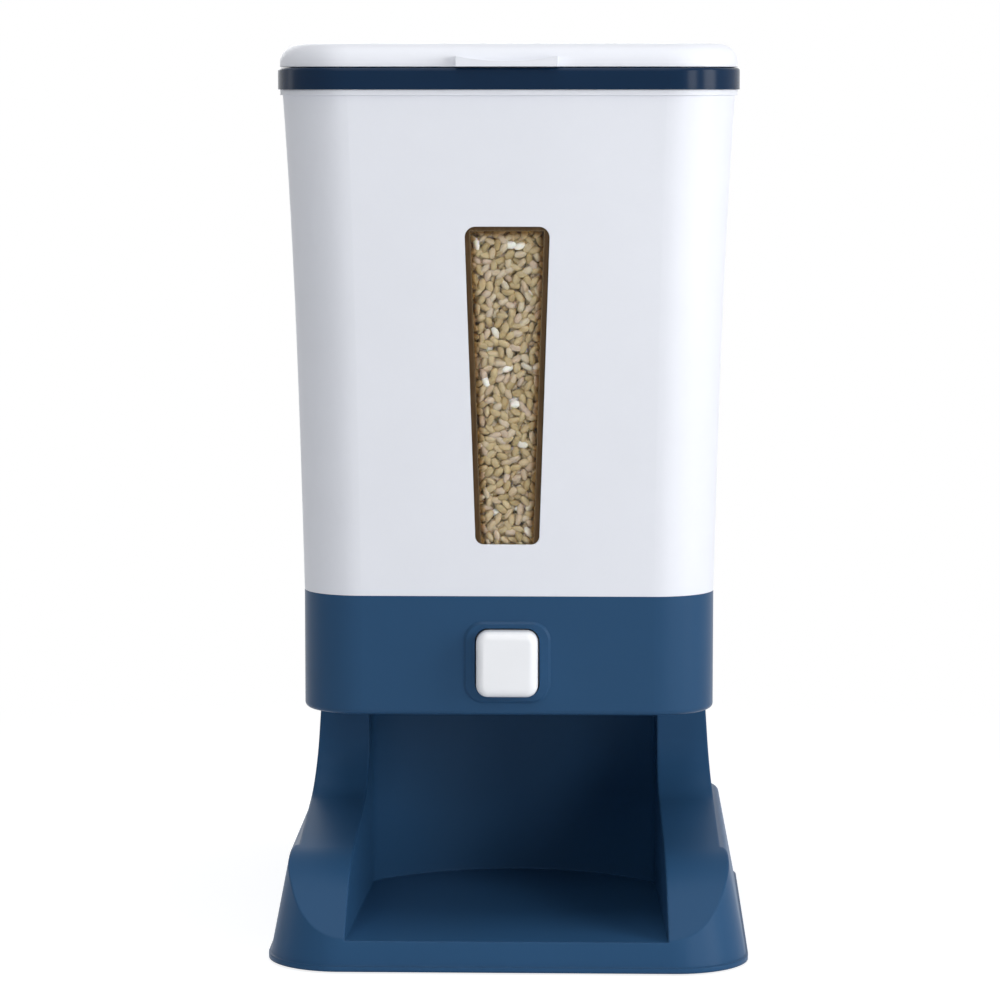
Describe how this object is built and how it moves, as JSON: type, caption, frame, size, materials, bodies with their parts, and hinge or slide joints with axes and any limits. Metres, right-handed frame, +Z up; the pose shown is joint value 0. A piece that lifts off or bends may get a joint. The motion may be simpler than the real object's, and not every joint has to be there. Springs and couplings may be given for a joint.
{
  "type": "rice dispenser",
  "caption": "Tall rice bin with a flared body, front window and hinged lid on a push-button dispensing base over an open bay for a cup.",
  "frame": {"origin": "middle of the footprint, on the surface under the rubber feet", "axes": "+Z up, the window and push button face -Y, +X to the right as seen from the front"},
  "size_m": [0.232, 0.261, 0.44],
  "materials": {
    "white_plastic": "satin white polypropylene",
    "navy_plastic": "satin navy polypropylene",
    "grey_plastic": "matt grey acetal",
    "clear_pane": "clear polystyrene pane",
    "silicone": "soft translucent silicone",
    "rubber": "black rubber",
    "spring_steel": "bright spring wire",
    "pin_steel": "plain steel pin",
    "screw_steel": "zinc-plated screws"
  },
  "bodies": {
    "base": {"stand": "navy_plastic", "rubber_foot_front_left": "rubber", "rubber_foot_front_right": "rubber", "rubber_foot_rear_left": "rubber", "rubber_foot_rear_right": "rubber", "dispenser_housing": "navy_plastic", "gate_frame": "grey_plastic", "return_spring_left": "spring_steel", "return_spring_right": "spring_steel", "throat_seal": "silicone", "outlet_chute": "grey_plastic", "hopper_funnel": "white_plastic", "bin_body": "white_plastic", "window_pane": "clear_pane", "collar_ring": "navy_plastic", "hinge_pin_left": "pin_steel", "hinge_pin_right": "pin_steel", "stand_screws": "screw_steel", "bin_screws": "screw_steel", "gate_screws": "screw_steel", "chute_screws": "screw_steel"},
    "lid": {"lid": "white_plastic", "lid_liner": "white_plastic", "lid_gasket": "silicone"},
    "gate": {"push_button": "white_plastic", "slide_gate": "grey_plastic"}
  },
  "joints": [
    {"name": "lid_hinge", "type": "hinge", "parent": "base", "child": "lid", "pos_m": [0, 0.1271, 0.431], "axis": [-1, 0, 0], "range_deg": [0, 105]},
    {"name": "button_press", "type": "slide", "parent": "base", "child": "gate", "axis": [0, 1, 0], "range_m": [0, 0.0095], "stiffness_N_per_m": 320, "springref_m": -0.0095, "deforming": ["return_spring_left", "return_spring_right"]}
  ]
}
